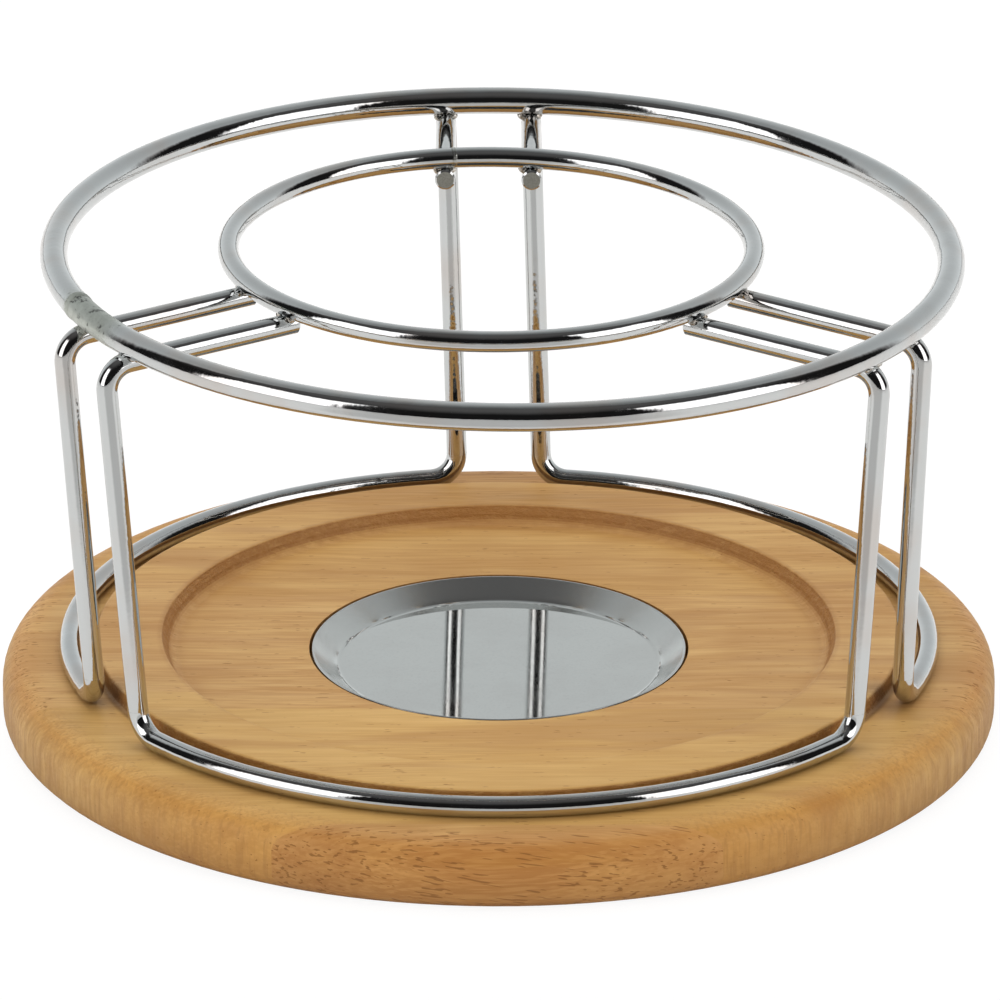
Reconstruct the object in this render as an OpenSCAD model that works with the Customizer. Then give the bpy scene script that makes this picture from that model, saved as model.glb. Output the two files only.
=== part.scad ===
/* [Wooden base] */
// Diameter of the turned board
board_diameter = 240; // [228:1:280]
// Height of the outer ledge above the table
ledge_height = 17; // [15:0.5:22]
// Height of the raised middle above the ledge
plateau_height = 4; // [3:0.5:6]
// Diameter of the raised middle
plateau_diameter = 195; // [186:0.5:198]
// Diameter of the turned recess in the raised middle
recess_diameter = 162.5; // [140:0.5:168]
// Depth of the turned recess
recess_depth = 4.2; // [3.8:0.1:5]
// Radius of the rounded upper rim of the board
rim_round = 7; // [5:0.5:10]
// Radius of the rounded lower rim of the board
foot_round = 4; // [2:0.5:5]

/* [Burner dish] */
// Diameter of the burner dish over its rim
dish_diameter = 90.6; // [70:0.1:100]
// Depth of the dish inside
dish_depth = 4.2; // [3:0.1:5]
// Thickness of the dish's sheet
dish_sheet = 0.8; // [0.6:0.1:1.2]
// Width of the gap between the dish's rim and its pocket
dish_gap = 0.6; // [0.4:0.1:1]

/* [Wire frame] */
// Diameter of the bent leg wires
leg_wire = 5; // [4:0.1:5.5]
// Diameter of the circle that the feet lie on, at the middle of the wire
foot_circle = 207.5; // [206:0.5:212]
// Distance between the two legs of a pair
pair_spacing = 20.9; // [18:0.1:28]
// Angle between the side pairs and the left-to-right line
side_pair_angle = 28.3; // [26:0.1:32]
// How far the legs lean outwards, in degrees
leg_lean = 4.1; // [3.5:0.1:4.5]
// How far the side legs lean to the left, in degrees
side_sway = 0.85; // [0:0.05:1.5]
// How far the back legs lean to the left, in degrees
back_sway = 1.65; // [0:0.05:2]
// How far the front wire's left foot is set in towards the front
front_left_inset = 2; // [0:0.1:4]
// How far the front wire's right foot is set in towards the front
front_right_inset = 3.7; // [0:0.1:4]
// How far the whole top is tilted up on the left, in degrees
frame_tilt = 0.35; // [0:0.05:0.5]
// How far the side pairs are turned towards the front at their tops, in degrees
side_twist = 1.5; // [0:0.1:2]
// How far the arms rise towards the middle, in degrees
arm_rise = 2.2; // [1:0.1:3]
// Height from the middle of the foot wire to the middle of the arm
leg_height = 93.7; // [80:0.1:110]
// Bend radius at the middle of the wire where a leg meets its foot
foot_bend = 6.5; // [6:0.5:8]
// Bend radius at the middle of the wire where a leg meets its arm
arm_bend = 6; // [5.5:0.5:7]
// Distance from the inner ring's axis to the cut ends of the arms
arm_end_reach = 58.9; // [54:0.1:60]

/* [Rings] */
// Diameter of the outer ring's wire
outer_wire = 6.6; // [6:0.1:7]
// Diameter of the outer ring at the middle of its wire
outer_circle = 214; // [212:0.5:216]
// How far to the right of the board's axis the outer ring is welded
outer_shift = 0.9; // [-1:0.1:1]
// Diameter of the inner ring's wire
inner_wire = 5; // [4:0.1:6]
// Diameter of the inner ring at the middle of its wire
inner_circle = 125.4; // [122:0.2:132]
// How far to the right of the board's axis the inner ring is welded
inner_shift = -1.8; // [-2:0.1:2]

/* [Hidden] */

$fn = 96;

board_radius = board_diameter / 2;
plateau_radius = plateau_diameter / 2;
recess_radius = recess_diameter / 2;
board_top = ledge_height + plateau_height;
recess_floor = board_top - recess_depth;
plateau_round = 0.9;
ledge_fillet = 1;
recess_cove = 3;
recess_lip = 0.6;

dish_radius = dish_diameter / 2;
dish_height = dish_depth + dish_sheet;
dish_wall_run = 5.6;
dish_base_radius = dish_radius - dish_wall_run;
pocket_radius = dish_radius + dish_gap;
pocket_floor = recess_floor - dish_height;
lip_roll = dish_sheet / 2;

foot_radius = foot_circle / 2;
wire_radius = leg_wire / 2;
// The foot wires stand just clear of the ledge
foot_clearance = 0.05;
foot_level = ledge_height + wire_radius + foot_clearance;
// The bends are drawn a little fat so that the straight ends sit inside them
bend_radius = wire_radius + 0.02;
end_overlap = 0.3;
cut_bevel = 0.4;

// Azimuths of the three pairs of legs
back_pair = 90;
left_pair = 180 + side_pair_angle;
right_pair = -side_pair_angle;
pairs = [back_pair, left_pair, right_pair];

// Angle from the middle of a pair to where each foot arc starts
corner_radius = sqrt(foot_radius * foot_radius + foot_bend * foot_bend);
foot_arc_start = asin(pair_spacing / 2 / corner_radius) + atan(foot_bend / foot_radius);

outer_radius = outer_circle / 2;
inner_radius = inner_circle / 2;
// Depth to which a ring is welded into the arms under it
weld_sink = 0.2;
arm_level = foot_level + leg_height;
pair_reach = sqrt(corner_radius * corner_radius - pair_spacing * pair_spacing / 4);
leg_top_reach = pair_reach + leg_height * tan(leg_lean);
ring_reach = sqrt(outer_radius * outer_radius - pair_spacing * pair_spacing / 4);
// The outer ring lies on the three pairs where their arms start to bend down into the legs
left_level = ring_level(left_pair);
right_level = ring_level(right_pair);
back_level = ring_level(back_pair);
side_reach = ring_reach * cos(arm_azimuth(right_pair));
outer_tilt = atan((left_level - right_level) / (2 * side_reach));
outer_pitch = atan((back_level - (left_level + right_level) / 2)
    / (ring_reach * (1 - sin(arm_azimuth(right_pair)))));
outer_level = back_level - ring_reach * tan(outer_pitch);
inner_reach = sqrt(inner_radius * inner_radius - pair_spacing * pair_spacing / 4);
inner_level = arm_level + (leg_top_reach - inner_reach) * tan(arm_rise)
    + wire_radius + inner_wire / 2 - weld_sink;
outer_joint_azimuth = 201.4;
inner_joint_azimuth = 98.5;

// Height of the outer ring's middle where it touches the bends of one pair
function ring_level(pair) =
    let (touch = arm_bend + wire_radius + outer_wire / 2 - weld_sink,
         leg_top = leg_top_reach - (top_sway(pair) + outer_shift) * cos(pair),
         out = max(0, ring_reach - leg_top + arm_bend))
    level_at(polar(leg_top_reach, arm_azimuth(pair))) - arm_bend + sqrt(touch * touch - out * out);

// How far left of its feet the top of a pair stands
function top_sway(pair) = leg_height * tan(pair == back_pair ? back_sway : side_sway);

// Azimuth of a pair's arms, and the level of the corners between legs and arms at a place
function arm_azimuth(pair) = pair - side_twist * cos(pair);
function level_at(place) = arm_level - place.x * tan(frame_tilt);

// Corner between a leg and its arm; side is 1 or -1 about the pair
function leg_top(pair, side) =
    let (place = polar(leg_top_reach, arm_azimuth(pair))
        + polar(side * pair_spacing / 2, arm_azimuth(pair) + 90))
    [place.x - top_sway(pair), place.y, level_at(place)];

// Azimuth at which a ring crosses one arm of a pair, seen from the ring's own middle
function crossing(pair, side, shift, radius) =
    arm_azimuth(pair) + asin((side * pair_spacing / 2 + (top_sway(pair) + shift) * sin(pair)) / radius);

function unit(v) = v / norm(v);
function polar(r, a, z = 0) = [r * cos(a), r * sin(a), z];

// Points of an arc about a centre, from one angle to another
function arc(cx, cy, r, from, to, steps = 8) =
    [for (i = [0 : steps]) let (a = from + (to - from) * i / steps) [cx + r * cos(a), cy + r * sin(a)]];

// Outline of the turned board, from its middle outwards and back along the underside
function board_outline() = concat(
    [[0, pocket_floor]],
    [[pocket_radius, pocket_floor]],
    [[pocket_radius, recess_floor]],
    arc(recess_radius - 0.8 - recess_cove, recess_floor + recess_cove, recess_cove, 270, 345, 6),
    arc(recess_radius + recess_lip, board_top - recess_lip, recess_lip, 170, 90, 4),
    arc(plateau_radius - plateau_round, board_top - plateau_round, plateau_round, 90, 0, 5),
    arc(plateau_radius + ledge_fillet, ledge_height + ledge_fillet, ledge_fillet, 180, 270, 4),
    arc(board_radius - rim_round, ledge_height - rim_round, rim_round, 90, 0, 14),
    arc(board_radius - foot_round, foot_round, foot_round, 0, -90, 7),
    [[0, 0]]);

module base_board() {
    color("burlywood") rotate_extrude() polygon(board_outline());
}

// Outline of the dish's pressed sheet: flat bottom, sloping wall and a rolled lip
function dish_outline() = concat(
    [[0, 0]],
    arc(dish_base_radius - 1.5, 2.5, 2.5, 270, 310, 4),
    [[dish_radius - 2 * lip_roll - 0.5, dish_height - lip_roll - 0.5]],
    arc(dish_radius - lip_roll, dish_height - lip_roll, lip_roll, -60, 120, 8),
    arc(dish_base_radius - 1.5, 2.5 + dish_sheet * 0.4, 2.5 - dish_sheet * 0.6, 310, 270, 4),
    [[0, dish_sheet]]);

module burner_dish() {
    color("silver") translate([0, 0, pocket_floor]) rotate_extrude() polygon(dish_outline());
}

// Places a child so that its X and Y axes lie along two perpendicular unit vectors
module place(at, x, y) {
    z = cross(x, y);
    multmatrix([[x.x, y.x, z.x, at.x], [x.y, y.y, z.y, at.y], [x.z, y.z, z.z, at.z], [0, 0, 0, 1]])
        children();
}

// Straight stretch of wire, with a bevel at a cut end
module rod(from, to, bevel = 0) {
    z = unit(to - from);
    x = unit(cross([0, 1, 0.3], z));
    length = norm(to - from);
    place(from, x, cross(z, x)) {
        cylinder(r = wire_radius, h = length - bevel);
        if (bevel > 0) translate([0, 0, length - bevel])
            cylinder(r1 = wire_radius, r2 = wire_radius - bevel, h = bevel);
    }
}

// Length that a bend takes off each of the two stretches that meet at a corner
function setback(into, out, bend) = bend * tan(acos(into * out) / 2);

// Bend of wire at a corner, between two heading vectors
module elbow(corner, into, out, bend) {
    inward = unit(out - (into * out) * into);
    place(corner - into * setback(into, out, bend) + inward * bend, -inward, into)
        rotate_extrude(angle = acos(into * out)) translate([bend, 0]) circle(r = bend_radius);
}

// Angle from the middle of a pair to a foot arc's end that is set in by some distance
function foot_angle(inset) = foot_arc_start + 2 * asin(inset / 2 / foot_radius);

// Leg and arm that rise from the end of a foot arc; side is 1 or -1 about the pair
module leg_and_arm(pair, side, inset) {
    out = polar(1, arm_azimuth(pair));
    arc_end = pair + side * foot_angle(inset);
    along = side * polar(1, arc_end - 90);
    arc_tip = polar(foot_radius, arc_end, foot_level);
    up = unit(leg_top(pair, side) - arc_tip - along * foot_bend);
    foot = arc_tip + along * setback(along, up, foot_bend);
    top = foot + up * norm(leg_top(pair, side) - foot);
    inwards = unit([0, 0, tan(arm_rise) + out.x * tan(frame_tilt)] - out);
    top_cut = setback(up, inwards, arm_bend);
    arm_length = top * out - arm_end_reach - inner_shift * out.x;
    tip = top + inwards * arm_length / norm([inwards.x, inwards.y]);
    elbow(foot, along, up, foot_bend);
    rod(foot + up * (setback(along, up, foot_bend) - end_overlap), top - up * (top_cut - end_overlap));
    elbow(top, up, inwards, arm_bend);
    rod(top + inwards * (top_cut - end_overlap), tip, cut_bevel);
}

// One bent wire: arm, leg, foot arc, leg and arm, between two neighbouring pairs
module leg_wire(from_pair, to_pair, from_inset = 0, to_inset = 0) {
    lap = asin(end_overlap / foot_radius);
    start = from_pair + foot_angle(from_inset) - lap;
    end = to_pair - foot_angle(to_inset) + lap;
    color("gainsboro") {
        rotate([0, 0, start]) translate([0, 0, foot_level])
            rotate_extrude(angle = end - start) translate([foot_radius, 0]) circle(r = wire_radius);
        leg_and_arm(from_pair, 1, from_inset);
        leg_and_arm(to_pair, -1, to_inset);
    }
}

module front_leg_wire() {
    leg_wire(left_pair, right_pair + 360, front_left_inset, front_right_inset);
}

module rear_left_leg_wire() {
    leg_wire(back_pair, left_pair);
}

module rear_right_leg_wire() {
    leg_wire(right_pair, back_pair);
}

// The outer ring is a little higher on the left, where the legs reach further out than the ring
module on_outer_ring() {
    translate([outer_shift, 0, outer_level]) rotate([outer_pitch, outer_tilt, 0]) children();
}

module on_inner_ring() {
    translate([inner_shift, 0, inner_level]) rotate([0, frame_tilt, 0]) children();
}

module wire_ring(radius, wire) {
    rotate_extrude() translate([radius, 0]) circle(d = wire);
}

module outer_ring() {
    color("gainsboro") on_outer_ring() wire_ring(outer_radius, outer_wire);
}

module inner_ring() {
    color("gainsboro") on_inner_ring() wire_ring(inner_radius, inner_wire);
}

// Two small beads in the corners where a ring crosses each arm
module weld_beads(radius, shift, depth, bead) {
    half_gap = asin(wire_radius * 0.72 / radius);
    for (pair = pairs, side = [-1, 1], edge = [-1, 1])
        rotate([0, 0, crossing(pair, side, shift, radius) + edge * half_gap])
            translate([radius, 0, -depth]) sphere(r = bead, $fn = 32);
}

module outer_ring_welds() {
    color("silver") on_outer_ring() weld_beads(outer_radius - 0.5, outer_shift, outer_wire / 2 + 0.3, 1.2);
}

module inner_ring_welds() {
    color("silver") on_inner_ring() weld_beads(inner_radius, inner_shift, inner_wire / 2 + 0.3, 1.1);
}

// Raised collar where the two ends of a ring's wire are welded together
module ring_joint(radius, wire, azimuth, length, swell) {
    span = 2 * asin(length / 2 / radius);
    rotate([0, 0, azimuth - span / 2]) rotate_extrude(angle = span) translate([radius, 0])
        difference() {
            circle(d = wire + 2 * swell);
            circle(d = wire);
        }
}

module outer_ring_joint() {
    color("silver") on_outer_ring() ring_joint(outer_radius, outer_wire, outer_joint_azimuth, 3, 0.25);
}

module inner_ring_joint() {
    color("silver") on_inner_ring() ring_joint(inner_radius, inner_wire, inner_joint_azimuth, 1.2, 0.15);
}

base_board();
burner_dish();
front_leg_wire();
rear_left_leg_wire();
rear_right_leg_wire();
outer_ring();
inner_ring();
outer_ring_welds();
inner_ring_welds();
outer_ring_joint();
inner_ring_joint();
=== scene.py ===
import math
import random
import bmesh
import bpy
from mathutils import Matrix, Vector, noise


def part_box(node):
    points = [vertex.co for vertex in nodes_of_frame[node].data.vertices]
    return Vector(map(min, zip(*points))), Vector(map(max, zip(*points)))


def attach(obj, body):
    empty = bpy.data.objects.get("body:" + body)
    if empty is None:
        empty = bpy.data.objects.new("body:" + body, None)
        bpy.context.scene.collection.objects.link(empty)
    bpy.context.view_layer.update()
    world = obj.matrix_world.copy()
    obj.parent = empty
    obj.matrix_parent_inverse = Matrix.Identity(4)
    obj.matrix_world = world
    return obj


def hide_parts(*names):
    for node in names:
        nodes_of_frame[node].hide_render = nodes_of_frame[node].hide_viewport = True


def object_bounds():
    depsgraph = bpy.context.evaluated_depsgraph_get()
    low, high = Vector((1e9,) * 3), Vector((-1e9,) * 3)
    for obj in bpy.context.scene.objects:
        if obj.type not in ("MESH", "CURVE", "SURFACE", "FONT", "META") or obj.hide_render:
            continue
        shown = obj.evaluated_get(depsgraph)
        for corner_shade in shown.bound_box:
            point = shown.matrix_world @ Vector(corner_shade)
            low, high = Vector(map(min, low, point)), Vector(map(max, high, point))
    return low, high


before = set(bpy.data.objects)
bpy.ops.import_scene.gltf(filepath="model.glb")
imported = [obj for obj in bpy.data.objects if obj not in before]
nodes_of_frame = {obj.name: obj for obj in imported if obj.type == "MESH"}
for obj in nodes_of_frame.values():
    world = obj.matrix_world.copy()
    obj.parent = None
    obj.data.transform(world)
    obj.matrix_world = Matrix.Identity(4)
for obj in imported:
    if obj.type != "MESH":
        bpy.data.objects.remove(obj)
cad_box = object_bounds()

scene = bpy.context.scene

# where the turned board changes, in metres from its axis and above the table
BOARD_RADIUS = cad_box[1][0]
RIM_INNER = BOARD_RADIUS - 0.011
RIM_OUTER = BOARD_RADIUS - 0.005
PLATEAU_RADIUS = 0.0975
RECESS_RADIUS = 0.08125
LEDGE_HEIGHT = 0.017
# azimuths of the two rear feet at the sides, in degrees from +X
SIDE_FEET = (200.3, -21.8)


# ---------------------------------------------------------------- camera
PITCH = math.radians(21.86)
DISTANCE = 2.647
AIM = Vector((0.0, 0.0, 0.055))
camera_data = bpy.data.cameras.new("camera")
camera_data.sensor_width = 36.0
camera_data.lens = 396.0
camera_data.shift_x = 0.0012
camera_data.clip_start = 0.1
camera_data.clip_end = 60.0
camera = bpy.data.objects.new("camera", camera_data)
scene.collection.objects.link(camera)
camera.location = AIM + DISTANCE * Vector((0.0, -math.cos(PITCH), math.sin(PITCH)))
camera.rotation_euler = (math.pi / 2 - PITCH, 0.0, 0.0)
scene.camera = camera
scene.view_settings.view_transform = "Standard"


# ---------------------------------------------------------------- node helpers
class Tree:
    """Short calls for building a node tree; _0, _1 and _2 name a node's inputs by their number."""

    def __init__(self, tree):
        self.tree = tree

    def node(self, kind, **inputs):
        made = self.tree.nodes.new(kind)
        for name, value in inputs.items():
            self.feed(made, name, value)
        return made

    def feed(self, node, name, value):
        key = int(name[1:]) if name[0] == "_" else name.replace("_", " ")
        socket = node.inputs[key]
        if isinstance(value, bpy.types.NodeSocket):
            self.tree.links.new(value, socket)
        else:
            socket.default_value = value

    def math(self, operation, a, b=0.0, clamp=False):
        made = self.node("ShaderNodeMath", _0=a, _1=b)
        made.operation = operation
        made.use_clamp = clamp
        return made.outputs[0]

    def times(self, a, b, clamp=False):
        return self.math("MULTIPLY", a, b, clamp)

    def plus(self, a, b):
        return self.math("ADD", a, b)

    def minus(self, a, b):
        return self.math("SUBTRACT", a, b)

    def size_of(self, value):
        return self.math("ABSOLUTE", value)

    def split(self, vector):
        return self.node("ShaderNodeSeparateXYZ", _0=vector).outputs

    def join(self, x, y=0.0, z=0.0):
        return self.node("ShaderNodeCombineXYZ", _0=x, _1=y, _2=z).outputs[0]

    def radius(self, x, y):
        return self.math("SQRT", self.plus(self.times(x, x), self.times(y, y)))

    def distance(self, a, b):
        made = self.node("ShaderNodeVectorMath", _0=a, _1=tuple(b))
        made.operation = "DISTANCE"
        return made.outputs["Value"]

    def step(self, value, low, high, to_low=0.0, to_high=1.0):
        """A smooth step from to_low at low to to_high at high."""
        made = self.node("ShaderNodeMapRange", _0=value, _1=low, _2=high, _3=to_low, _4=to_high)
        made.interpolation_type = "SMOOTHSTEP"
        return made.outputs[0]

    def scaled(self, vector, scale):
        made = self.node("ShaderNodeVectorMath", _0=vector, _1=scale)
        made.operation = "MULTIPLY"
        return made.outputs[0]

    def added(self, a, b):
        made = self.node("ShaderNodeVectorMath", _0=a, _1=b)
        made.operation = "ADD"
        return made.outputs[0]

    def noise(self, vector, scale=1.0, detail=2.0, roughness=0.5):
        made = self.node("ShaderNodeTexNoise", Vector=vector, Scale=scale, Detail=detail,
                         Roughness=roughness)
        return made.outputs["Fac"]

    def noise_colour(self, vector, scale=1.0, detail=2.0):
        made = self.node("ShaderNodeTexNoise", Vector=vector, Scale=scale, Detail=detail)
        return made.outputs["Color"]

    def ramp(self, value, stops, constant=False):
        made = self.node("ShaderNodeValToRGB", _0=value)
        ramp = made.color_ramp
        if constant:
            ramp.interpolation = "CONSTANT"
        while len(ramp.elements) < len(stops):
            ramp.elements.new(0.5)
        for element, (place, colour) in zip(ramp.elements, stops):
            element.position = place
            colour = (colour,) * 3 if isinstance(colour, (int, float)) else colour
            element.color = (*colour, 1.0)
        return made.outputs[0]

    def mix(self, factor, a, b, blend="MIX"):
        made = self.tree.nodes.new("ShaderNodeMix")
        made.data_type = "RGBA"
        made.blend_type = blend
        for index, value in ((0, factor), (6, a), (7, b)):
            if isinstance(value, bpy.types.NodeSocket):
                self.tree.links.new(value, made.inputs[index])
            elif index == 0:
                made.inputs[0].default_value = value
            else:
                made.inputs[index].default_value = (*value, 1.0)
        return made.outputs[2]

    def bump(self, height, strength, distance, normal=None):
        made = self.node("ShaderNodeBump", Height=height, Strength=strength, Distance=distance)
        if normal is not None:
            self.tree.links.new(normal, made.inputs["Normal"])
        return made.outputs[0]


def material(name):
    """A new material with its shader and coordinates, and the calls that build it."""
    made = bpy.data.materials.new(name)
    made.use_nodes = True
    made.node_tree.nodes.clear()
    tree = Tree(made.node_tree)
    shader = tree.node("ShaderNodeBsdfPrincipled")
    output = tree.node("ShaderNodeOutputMaterial")
    made.node_tree.links.new(shader.outputs[0], output.inputs[0])
    coordinates = tree.node("ShaderNodeTexCoord")
    return made, tree, shader, coordinates


# ---------------------------------------------------------------- materials
def stave_field(t, here, y):
    """Glued staves that run left to right: each has its own number between 0 and 1."""
    span = 2 * BOARD_RADIUS + 0.02
    wander = t.times(t.minus(t.noise(t.scaled(here, (9, 3, 3))), 0.5), 0.004)
    across = t.plus(t.plus(y, wander), span / 2)
    return t.ramp(t.math("DIVIDE", across, span),
                  [(0.0, 0.22), (0.083, 0.86), (0.35, 0.40), (0.62, 0.62), (0.87, 0.35)], constant=True)


def beech_grain(t, here, y, stave):
    """Long soft figure, fine lines and clouds; gives the colour and the two finest fields."""
    shift = t.join(t.times(stave, 0.7), t.times(stave, 0.31), t.times(stave, 0.53))
    swirl = t.added(t.noise_colour(t.scaled(here, (7, 16, 16))), (-0.5, -0.5, -0.5))
    warp = t.scaled(swirl, (0.0, 0.012, 0.012))
    warped = t.added(here, warp)
    place = t.added(warped, shift)
    broad = t.noise(t.scaled(place, (4.5, 42, 42)), detail=3.0, roughness=0.55)
    fine = t.noise(t.scaled(place, (18, 330, 330)), detail=4.0, roughness=0.6)
    fibre = t.noise(t.scaled(place, (60, 1500, 1500)), detail=2.0)
    cloud = t.noise(here, scale=26.0, detail=2.0)
    bands = t.noise(t.scaled(warped, (11, 62, 30)), detail=2.0, roughness=0.6)

    colour = t.ramp(broad, [(0.28, (0.300, 0.142, 0.044)), (0.42, (0.480, 0.262, 0.088)),
                            (0.54, (0.600, 0.362, 0.130)), (0.72, (0.690, 0.450, 0.180))])
    colour = t.mix(t.step(fine, 0.36, 0.62, 0.0, 0.62), colour, (0.420, 0.212, 0.068))
    colour = t.mix(t.step(fibre, 0.42, 0.66, 0.0, 0.34), colour, (0.74, 0.48, 0.205))
    colour = t.mix(t.step(cloud, 0.42, 0.66, 0.0, 0.42), colour, (0.42, 0.205, 0.060))
    yellow = t.times(t.minus(stave, 0.3), 0.75, clamp=True)
    colour = t.mix(yellow, colour, (0.64, 0.405, 0.118))
    colour = t.mix(t.step(bands, 0.54, 0.68, 0.0, 0.38), colour, (0.36, 0.170, 0.052))
    redder = t.mix(1.0, colour, (0.935, 0.885, 0.830), "MULTIPLY")
    colour = t.mix(t.step(y, 0.0, 0.055), colour, redder)
    return colour, fine, fibre


def beech_pores(t, here, stave, edge, end_grain):
    """Short dark flecks that slant a little, clearest on the turned edge of the flat sawn staves."""
    x, y, z = t.split(here)
    slanted = t.join(x, y, t.plus(z, t.times(x, 0.16)))
    field = t.noise(t.scaled(slanted, (135, 1650, 1650)), detail=1.0, roughness=0.4)
    area = t.noise(t.scaled(here, (45, 60, 60)), detail=1.0)
    flat_sawn = t.times(edge, t.step(stave, 0.6, 0.4))
    level = t.plus(t.times(flat_sawn, 0.100), t.times(area, 0.09))
    pore = t.step(t.plus(field, level), 0.765, 0.815)
    return t.times(pore, t.minus(1.0, t.times(end_grain, 0.6)))


def beech_rim(t, here, z, colour, stave, edge, upright, end_grain):
    """Fine ribs on the quarter sawn staves, torn end grain at the sides, a warmer rim, and painted shade
    that darkens the rim towards the table.
    """
    ribs = t.noise(t.scaled(here, (900, 900, 60)), detail=3.0, roughness=0.6)
    ribbed = t.times(edge, t.step(stave, 0.4, 0.6))
    colour = t.mix(t.times(ribbed, t.step(ribs, 0.46, 0.66, 0.0, 0.55)), colour, (0.42, 0.235, 0.075))
    end_lines = t.noise(t.scaled(here, (260, 620, 90)), detail=3.0, roughness=0.6)
    end_tone = t.mix(t.step(end_lines, 0.36, 0.66), (0.37, 0.190, 0.062), (0.57, 0.345, 0.130))
    colour = t.mix(t.times(end_grain, 0.55), colour, end_tone)
    side_edge = t.times(edge, t.minus(1.0, end_grain))
    side_edge = t.times(side_edge, t.step(upright, 1.0, 0.7, 0.35, 1.0))
    colour = t.mix(side_edge, colour, t.mix(1.0, colour, (0.96, 0.82, 0.60), "MULTIPLY"))
    # painted shade: the rim darkens towards its foot, where less light reaches it
    foot_shade = t.times(edge, t.step(z, 0.011, 0.001, 0.0, 0.34))
    return t.mix(foot_shade, colour, (0.20, 0.10, 0.035))


def beech_cuts(t, here, place, colour, upright, ragged):
    """Cut walls of the recess and of the raised middle, darker partly for their end grain and partly as
    painted shade, with painted shade in the recess's cove, in the corner at the wall's foot and beside
    the side feet; place holds radius, y and z.
    """
    radius, y, z = place
    # the steep cut walls: darker partly for their own end grain, partly as painted shade
    steep = t.step(upright, 0.86, 0.45)
    inside = t.step(radius, PLATEAU_RADIUS + 0.003, PLATEAU_RADIUS + 0.001)
    wall = t.times(t.times(steep, inside), t.step(ragged, 0.25, 0.6, 0.55, 1.0))
    colour = t.mix(t.times(wall, 0.85), colour, (0.300, 0.125, 0.026))

    # painted shade on the recess's rounded wall, from its foot to its lip, darkest at the back
    rising = t.step(radius, RECESS_RADIUS - 0.00675, RECESS_RADIUS - 0.00125)
    fading = t.step(radius, RECESS_RADIUS + 0.00175, RECESS_RADIUS + 0.00055)
    cove_shade = t.times(t.times(rising, fading), t.step(ragged, 0.3, 0.7, 0.25, 0.52))
    cove_shade = t.times(cove_shade, t.step(y, -0.055, 0.015, 0.25, 1.0))
    colour = t.mix(cove_shade, colour, (0.330, 0.150, 0.040))

    # painted shade in the corner at the foot of the raised middle's wall
    foot_radius = PLATEAU_RADIUS + 0.0007
    corner_shade = t.times(t.step(t.size_of(t.minus(radius, foot_radius)), 0.0016, 0.0002),
                     t.step(z, LEDGE_HEIGHT + 0.0025, LEDGE_HEIGHT + 0.0002))
    colour = t.mix(t.times(corner_shade, 0.6), colour, (0.14, 0.07, 0.03))

    # soft painted shadows on that wall, beside the two rear feet at the sides
    foot_shadow = 0.0
    for azimuth in SIDE_FEET:
        turned = Matrix.Rotation(math.radians(azimuth), 3, "Z")
        spot = turned @ Vector((foot_radius, 0.0, LEDGE_HEIGHT + 0.0008))
        reach = t.plus(t.distance(here, spot), t.times(ragged, 0.003))
        foot_shadow = t.plus(foot_shadow, t.step(reach, 0.0105, 0.0030))
    colour = t.mix(t.times(foot_shadow, 0.52), colour, (0.110, 0.052, 0.024))
    return colour, wall


def beech():
    """Oiled beech: a board glued from staves and turned on a lathe."""
    made, t, shader, coordinates = material("beech")
    here = coordinates.outputs["Object"]
    x, y, z = t.split(here)
    normal = t.split(coordinates.outputs["Normal"])
    upright = t.size_of(normal[2])
    end_grain = t.step(t.size_of(normal[0]), 0.45, 0.95)
    radius = t.radius(x, y)
    edge = t.step(radius, RIM_INNER, RIM_OUTER)
    ragged = t.noise(t.scaled(here, (420, 420, 900)), detail=3.0, roughness=0.7)

    stave = stave_field(t, here, y)
    colour, fine, fibre = beech_grain(t, here, y, stave)
    pore = beech_pores(t, here, stave, edge, end_grain)
    colour = t.mix(t.times(pore, 0.66), colour, (0.205, 0.090, 0.027))
    colour = beech_rim(t, here, z, colour, stave, edge, upright, end_grain)
    colour, wall = beech_cuts(t, here, (radius, y, z), colour, upright, ragged)
    t.feed(shader, "Base_Color", colour)

    rough = t.plus(t.step(fine, 0.3, 0.7, 0.44, 0.56), t.times(end_grain, 0.10))
    t.feed(shader, "Roughness", t.plus(rough, t.times(pore, 0.2)))
    shader.inputs["Specular IOR Level"].default_value = 0.36
    height = t.plus(t.times(fine, 0.5), t.times(fibre, 0.35))
    grain_bump = t.bump(t.minus(height, t.times(pore, 0.7)), 0.35, 0.00012)
    t.feed(shader, "Normal", t.bump(t.times(wall, ragged), 0.8, 0.0005, grain_bump))
    return made


def dull_patch(t, here, patch, colour, roughness, height):
    """A matt, pitted and discoloured patch round a place on the wire."""
    centre, reach = patch
    blotch = t.noise(here, scale=420.0, detail=4.0, roughness=0.7)
    away = t.plus(t.distance(here, centre), t.times(blotch, 0.006))
    dull = t.step(away, reach + 0.003, reach * 0.45 + 0.003)
    colour = t.mix(t.times(dull, 0.9), colour, t.mix(blotch, (0.27, 0.29, 0.25), (0.70, 0.73, 0.67)))
    scar = t.times(t.step(blotch, 0.435, 0.385), dull)
    colour = t.mix(t.times(scar, 0.8), colour, (0.07, 0.07, 0.065))
    roughness = t.plus(roughness, t.times(dull, 0.38))
    height = t.plus(height, t.times(t.times(blotch, dull), 1.4))
    return colour, roughness, height


def sawn_ends(t, here, normal, grain, colour, roughness):
    """Grey sawn faces at the arms' inner ends, which look at the board's axis."""
    x, y, z = t.split(here)
    outward = t.node("ShaderNodeVectorMath", _0=t.join(x, y))
    outward.operation = "NORMALIZE"
    facing = t.node("ShaderNodeVectorMath", _0=outward.outputs[0], _1=normal)
    facing.operation = "DOT_PRODUCT"
    sawn = t.times(t.step(facing.outputs["Value"], -0.82, -0.95), t.step(z, 0.108, 0.110))
    colour = t.mix(sawn, colour, t.mix(grain, (0.20, 0.21, 0.19), (0.46, 0.47, 0.44)))
    return colour, t.plus(roughness, t.times(sawn, 0.4))


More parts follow.
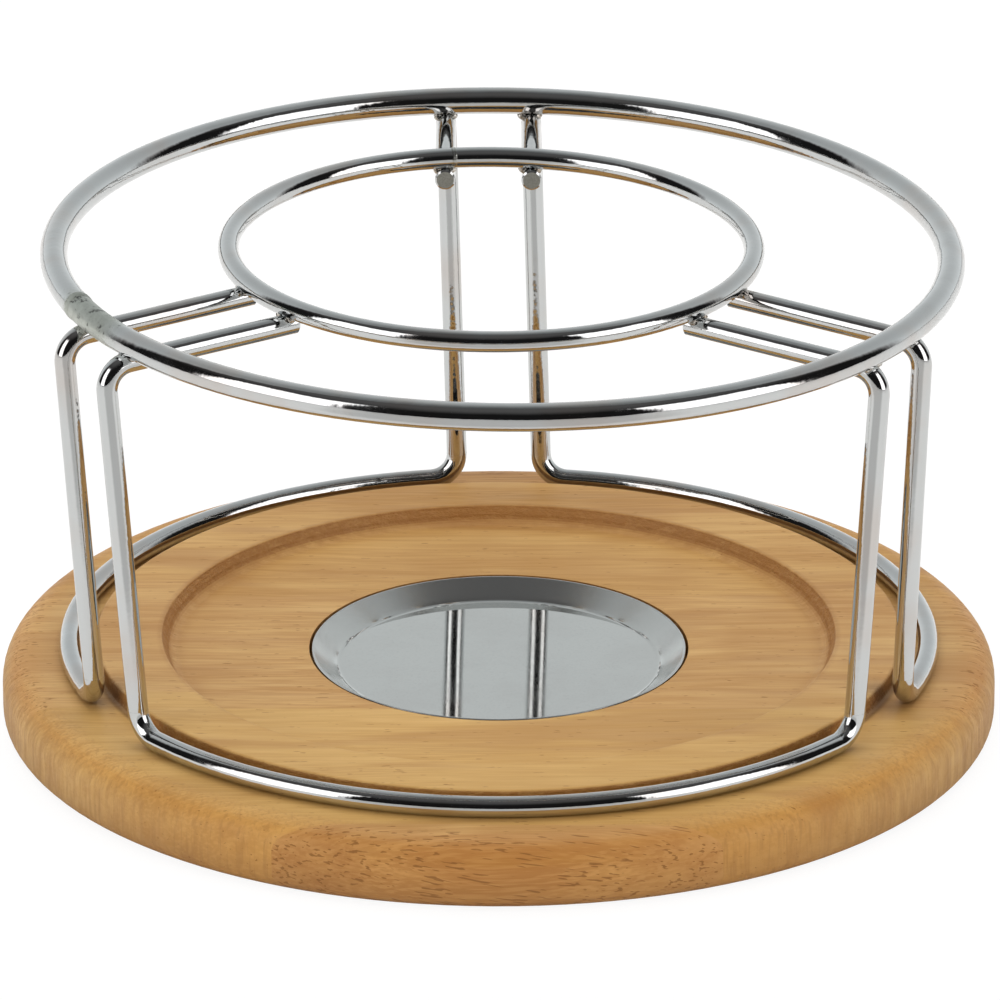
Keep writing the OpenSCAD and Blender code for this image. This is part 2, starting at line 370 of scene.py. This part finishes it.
def chrome(name, tone=(0.575, 0.590, 0.590), rough=0.045, patch=None, cut_ends=False):
    """Bright plated wire: slightly wavy, with faint warm stains and a few pits."""
    made, t, shader, coordinates = material(name)
    here = coordinates.outputs["Object"]
    stain = t.noise(here, scale=38.0, detail=3.0, roughness=0.6)
    colour = t.mix(t.step(stain, 0.45, 0.72, 0.0, 0.75), tone, (0.56, 0.520, 0.490))
    haze = t.noise(t.added(here, (0.4, 0.1, 0.7)), scale=75.0, detail=4.0, roughness=0.65)
    roughness = t.step(haze, 0.42, 0.78, rough, rough + 0.10)

    cells = t.node("ShaderNodeTexVoronoi", Vector=here, Scale=70.0, Randomness=1.0)
    chosen = t.node("ShaderNodeSeparateColor", _0=cells.outputs["Color"])
    pit = t.times(t.step(cells.outputs["Distance"], 0.055, 0.030), t.step(chosen.outputs[0], 0.80, 0.82))
    colour = t.mix(t.times(pit, 0.85), colour, (0.05, 0.045, 0.04))
    roughness = t.plus(roughness, t.times(pit, 0.4))
    grain = t.noise(here, scale=2600.0, detail=2.0)
    height = t.minus(t.times(grain, 0.012), t.times(pit, 0.6))
    if patch is not None:
        colour, roughness, height = dull_patch(t, here, patch, colour, roughness, height)
    if cut_ends:
        colour, roughness = sawn_ends(t, here, coordinates.outputs["Normal"], grain, colour, roughness)
    t.feed(shader, "Base_Color", colour)
    t.feed(shader, "Roughness", roughness)
    shader.inputs["Metallic"].default_value = 1.0

    wave = t.noise(here, scale=55.0, detail=1.0)
    ripple = t.noise(t.added(here, (0.2, 0.9, 0.3)), scale=310.0, detail=2.0, roughness=0.55)
    wavy = t.bump(t.plus(wave, t.times(ripple, 0.11)), 0.3, 0.0012)
    t.feed(shader, "Normal", t.bump(height, 0.5, 0.0002, wavy))
    return made


def weld_metal(name):
    """Lumpy run metal with burnt brown places."""
    made, t, shader, coordinates = material(name)
    here = coordinates.outputs["Object"]
    scale = t.noise(here, scale=650.0, detail=4.0, roughness=0.65)
    burn = t.noise(here, scale=240.0, detail=2.0)
    colour = t.mix(t.step(scale, 0.35, 0.65), (0.30, 0.27, 0.23), (0.66, 0.64, 0.60))
    colour = t.mix(t.step(burn, 0.5, 0.75, 0.0, 0.6), colour, (0.42, 0.30, 0.18))
    t.feed(shader, "Base_Color", colour)
    t.feed(shader, "Roughness", t.step(scale, 0.3, 0.7, 0.34, 0.14))
    shader.inputs["Metallic"].default_value = 1.0
    t.feed(shader, "Normal", t.bump(scale, 0.5, 0.0002))
    return made


def polished_steel():
    """Spun dish: a mirror floor with faint smears, and a wall that is a little duller."""
    # the radii between which the floor turns into the wall
    wall_from, wall_to = 0.0388, 0.0405
    made, t, shader, coordinates = material("polished_steel")
    here = coordinates.outputs["Object"]
    x, y, _ = t.split(here)
    radius = t.radius(x, y)
    spun = t.noise(t.join(t.times(radius, 2600.0)), detail=2.0)
    smear = t.noise(here, scale=60.0, detail=4.0, roughness=0.6)
    speck = t.noise(here, scale=1700.0, detail=2.0, roughness=0.7)
    colour = t.mix(t.step(smear, 0.38, 0.7), (0.640, 0.655, 0.640), (0.615, 0.625, 0.610))
    colour = t.mix(t.step(speck, 0.5, 0.72, 0.0, 0.22), colour, (0.50, 0.51, 0.50))
    t.feed(shader, "Base_Color", colour)
    rough = t.plus(t.step(smear, 0.35, 0.7, 0.030, 0.050), t.times(spun, 0.015))
    t.feed(shader, "Roughness", t.plus(rough, t.step(radius, wall_from, wall_to, 0.0, 0.17)))
    shader.inputs["Metallic"].default_value = 1.0
    height = t.plus(t.times(spun, 0.02), t.times(speck, 0.03))
    t.feed(shader, "Normal", t.bump(height, 0.2, 0.0002))
    return made


def box_centre(node):
    """The middle of a CAD node's box."""
    low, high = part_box(node)
    return (low + high) / 2


# the outer ring is dull round its weld, and most of that patch lies a little further round
PATCH_TURN = math.radians(5.5)
joint_place = box_centre("outer_ring_joint")
ring_middle = box_centre("outer_ring")
patch_place = ring_middle + Matrix.Rotation(PATCH_TURN, 3, "Z") @ (joint_place - ring_middle)

plain_chrome = chrome("chrome_wire")
leg_chrome = chrome("chrome_leg", cut_ends=True)
ring_chrome = chrome("chrome_ring", patch=(patch_place, 0.017))
seam_chrome = chrome("chrome_seam", tone=(0.46, 0.47, 0.44), rough=0.20, patch=(joint_place, 0.012))
welds = weld_metal("chrome_weld")
CARRIED = {
    "base_board": beech(),
    "burner_dish": polished_steel(),
    "front_leg_wire": leg_chrome,
    "rear_left_leg_wire": leg_chrome,
    "rear_right_leg_wire": leg_chrome,
    "outer_ring": ring_chrome,
    "inner_ring": plain_chrome,
}


def dress(obj, finish):
    """Gives a CAD node one material in all its slots."""
    if not obj.material_slots:
        obj.data.materials.append(finish)
    for place in obj.material_slots:
        place.material = finish


for name, finish in CARRIED.items():
    dress(nodes_of_frame[name], finish)


# ---------------------------------------------------------------- pieces
def piece(name, bm, finish, body, replaced=()):
    """Makes a smooth object of a mesh, hangs it on the body it rides on and hides the nodes it replaces.
    """
    mesh = bpy.data.meshes.new(name)
    bm.normal_update()
    bm.to_mesh(mesh)
    bm.free()
    for polygon in mesh.polygons:
        polygon.use_smooth = True
    obj = bpy.data.objects.new(name, mesh)
    scene.collection.objects.link(obj)
    mesh.materials.append(finish)
    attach(obj, body)
    if replaced:
        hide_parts(*replaced)
    return obj


def islands(node):
    """The vertex places of each separate solid in a CAD node."""
    bm = bmesh.new()
    bm.from_mesh(nodes_of_frame[node].data)
    bmesh.ops.remove_doubles(bm, verts=bm.verts, dist=1e-6)
    bm.verts.ensure_lookup_table()
    seen, groups = set(), []
    for start in bm.verts:
        if start.index in seen:
            continue
        group, queue = [], [start]
        seen.add(start.index)
        while queue:
            vertex = queue.pop()
            group.append(vertex.co.copy())
            for edge in vertex.link_edges:
                other = edge.other_vert(vertex)
                if other.index not in seen:
                    seen.add(other.index)
                    queue.append(other)
        groups.append(group)
    bm.free()
    return groups


def weld_beads(node, name):
    """An uneven bead of run metal in place of each round CAD bead."""
    bm = bmesh.new()
    rng = random.Random(7)
    for group in islands(node):
        low = Vector([min(v[i] for v in group) for i in range(3)])
        high = Vector([max(v[i] for v in group) for i in range(3)])
        centre = (low + high) / 2
        radius = (high.x - low.x) / 2
        seed = Vector((rng.random(), rng.random(), rng.random())) * 40
        turn = Matrix.Rotation(rng.uniform(0, 6.28), 3, "Z")
        made = bmesh.ops.create_icosphere(bm, subdivisions=4, radius=1.0)["verts"]
        for vertex in made:
            direction = vertex.co.normalized()
            lump = noise.fractal(direction * 1.3 + seed, 1.0, 2.0, 3)
            grit = noise.fractal(direction * 5.0 + seed, 0.8, 2.0, 2)
            reach = radius * (1.0 + 0.16 * lump + 0.05 * grit)
            shape = Vector((direction.x * 1.12, direction.y * 0.94, direction.z * 0.92))
            vertex.co = centre + turn @ shape * reach
    return piece(name, bm, welds, "frame", (node,))


weld_beads("outer_ring_welds", "outer_ring_weld_beads")
weld_beads("inner_ring_welds", "inner_ring_weld_beads")


def wire_radius_of(ring):
    """Half the wire's thickness, from how far the ring's vertices lie from its middle."""
    centre = box_centre(ring)
    reaches = [(vertex.co - centre).to_2d().length for vertex in nodes_of_frame[ring].data.vertices]
    return (max(reaches) - min(reaches)) / 2


def collar_height(at, s, depth, cut):
    """How far a butt weld stands off the wire; s runs from -1 to 1 along the collar."""
    sunk = 0.00004
    lump = noise.fractal(at * 420.0, 1.0, 2.0, 4)
    pit = max(0.0, noise.noise(at * 900.0) - 0.35)
    fade = 1.0 - s * s
    swell = depth * fade ** 0.6 * (0.62 + 0.5 * lump) - depth * 2.2 * pit * fade
    groove = cut * math.exp(-((s - 0.08 * lump) / 0.10) ** 2)
    return swell - groove - sunk


def rough_collar(node, name, ring, depth, cut):
    """A butt weld: a collar that swells and sinks unevenly round the wire, with ragged ends."""
    centre = box_centre(node)
    ring_low, ring_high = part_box(ring)
    ring_centre = box_centre(ring)
    radial = centre - ring_centre
    radial.z = 0.0
    radial.normalize()
    along = Vector((-radial.y, radial.x, 0.0))
    up = Vector((0.0, 0.0, 1.0))
    wire_radius = wire_radius_of(ring)
    axis_radius = (ring_high.x - ring_low.x + ring_high.y - ring_low.y) / 4 - wire_radius
    points = [v for group in islands(node) for v in group]
    half = max(abs((v - centre).dot(along)) for v in points) * 0.98
    axis = ring_centre + radial * axis_radius
    axis.z = sum(v.z for v in points) / len(points)

    steps, sides = 40, 96
    bm = bmesh.new()
    rows = []
    for i in range(steps + 1):
        s = -1.0 + 2.0 * i / steps
        angle = s * half / axis_radius
        out = radial * math.cos(angle) + along * math.sin(angle)
        middle = axis + (out - radial) * axis_radius
        row = []
        for k in range(sides):
            around = 2 * math.pi * k / sides
            direction = out * math.cos(around) + up * math.sin(around)
            height = collar_height(middle + direction * wire_radius, s, depth, cut)
            row.append(bm.verts.new(middle + direction * (wire_radius + height)))
        rows.append(row)
    for a, b in zip(rows, rows[1:]):
        for k in range(sides):
            bm.faces.new((a[k], a[(k + 1) % sides], b[(k + 1) % sides], b[k]))
    bm.faces.new(list(reversed(rows[0])))
    bm.faces.new(rows[-1])
    return piece(name, bm, seam_chrome, "frame", (node,))


rough_collar("outer_ring_joint", "outer_ring_butt_weld", "outer_ring", depth=0.00024, cut=0.0)
rough_collar("inner_ring_joint", "inner_ring_butt_weld", "inner_ring", depth=0.00012, cut=0.00022)


# ---------------------------------------------------------------- floor and light
def pale_floor():
    """A white table, nearly burnt out to the eye as in a product picture."""
    made, t, shader, coordinates = material("pale_floor")
    here = coordinates.outputs["Object"]
    tone = t.mix(t.noise(here, scale=3.0, detail=2.0), (0.93, 0.93, 0.93), (0.95, 0.95, 0.95))
    # painted shade on the table in front of the stand, which the metal mirrors
    x, y, _ = t.split(here)
    forward = t.times(y, -1.0)
    turn = t.size_of(t.math("ARCTAN2", x, forward))
    front_shade = t.times(t.step(turn, math.radians(44), math.radians(27)), t.step(forward, 0.13, 0.19))
    tone = t.mix(t.times(front_shade, 0.34), tone, (0.0, 0.0, 0.0))
    t.feed(shader, "Base_Color", tone)
    shader.inputs["Roughness"].default_value = 0.9
    shader.inputs["Specular IOR Level"].default_value = 0.1
    glow = t.node("ShaderNodeEmission", Color=(1.0, 1.0, 1.0, 1.0), Strength=1.05)
    seen = t.times(t.node("ShaderNodeLightPath").outputs["Is Camera Ray"], 0.86)
    blend = t.node("ShaderNodeMixShader", _0=seen, _1=shader.outputs[0], _2=glow.outputs[0])
    t.tree.links.new(blend.outputs[0], t.tree.nodes["Material Output"].inputs[0])
    return made


bm = bmesh.new()
bmesh.ops.create_grid(bm, x_segments=2, y_segments=2, size=9.0)
floor_mesh = bpy.data.meshes.new("floor")
bm.to_mesh(floor_mesh)
bm.free()
floor_mesh.materials.append(pale_floor())
floor = bpy.data.objects.new("floor", floor_mesh)
# a hair under the board, so that the two faces don't share a plane
floor.location.z = cad_box[0][2] - 0.0002
scene.collection.objects.link(floor)


def studio():
    """A pale wall behind the stand, a window at each side and a dim room in front."""
    wall_from, wall_to = math.radians(102), math.radians(115)
    window_from, window_to, soft_edge = math.radians(37), math.radians(80), math.radians(5)
    world = bpy.data.worlds.new("studio")
    world.use_nodes = True
    world.node_tree.nodes.clear()
    w = Tree(world.node_tree)
    x, y, z = w.split(w.node("ShaderNodeTexCoord").outputs["Generated"])
    turn = w.size_of(w.math("ARCTAN2", x, w.times(y, -1.0)))
    wall_tone = w.ramp(z, [(0.0, 0.95), (0.37, 0.69), (0.72, 0.55), (0.92, 0.30), (1.0, 0.12)])
    behind = w.step(turn, wall_from, wall_to)
    window = w.times(w.step(turn, window_from, window_from + soft_edge),
                     w.step(turn, window_to, window_to - soft_edge))
    window = w.times(window, w.step(z, 0.76, 0.66))
    room = w.plus(0.012, w.step(z, 0.55, 1.0, 0.0, 0.10))
    light = w.plus(w.times(wall_tone, behind), w.times(window, 2.3))
    light = w.plus(light, w.times(room, w.minus(1.0, behind)))
    tint = w.mix(behind, (1.0, 0.97, 0.97), (0.955, 0.99, 1.0))
    lit = w.node("ShaderNodeBackground", Color=w.mix(1.0, tint, light, "MULTIPLY"))
    plain = w.node("ShaderNodeBackground", Color=(0.95, 0.95, 0.95, 1.0))
    to_camera = w.node("ShaderNodeLightPath").outputs["Is Camera Ray"]
    chosen = w.node("ShaderNodeMixShader", _0=to_camera, _1=lit.outputs[0], _2=plain.outputs[0])
    w.tree.links.new(chosen.outputs[0], w.node("ShaderNodeOutputWorld").inputs[0])
    return world


scene.world = studio()


def area(name, place, size, energy, colour):
    """A broad soft light that the metal doesn't mirror."""
    data = bpy.data.lights.new(name, "AREA")
    data.shape = "RECTANGLE"
    data.size, data.size_y = size
    data.energy = energy
    data.color = colour
    obj = bpy.data.objects.new(name, data)
    scene.collection.objects.link(obj)
    obj.location = place
    obj.rotation_euler = (AIM - Vector(place)).to_track_quat("-Z", "Y").to_euler()
    obj.visible_glossy = False
    obj.visible_camera = False


area("top_soft", (0.0, 0.5, 2.4), (2.6, 2.2), 42.0, (1.0, 0.985, 0.96))
area("front_soft", (-0.4, -2.2, 1.9), (1.8, 1.2), 17.0, (1.0, 0.975, 0.94))
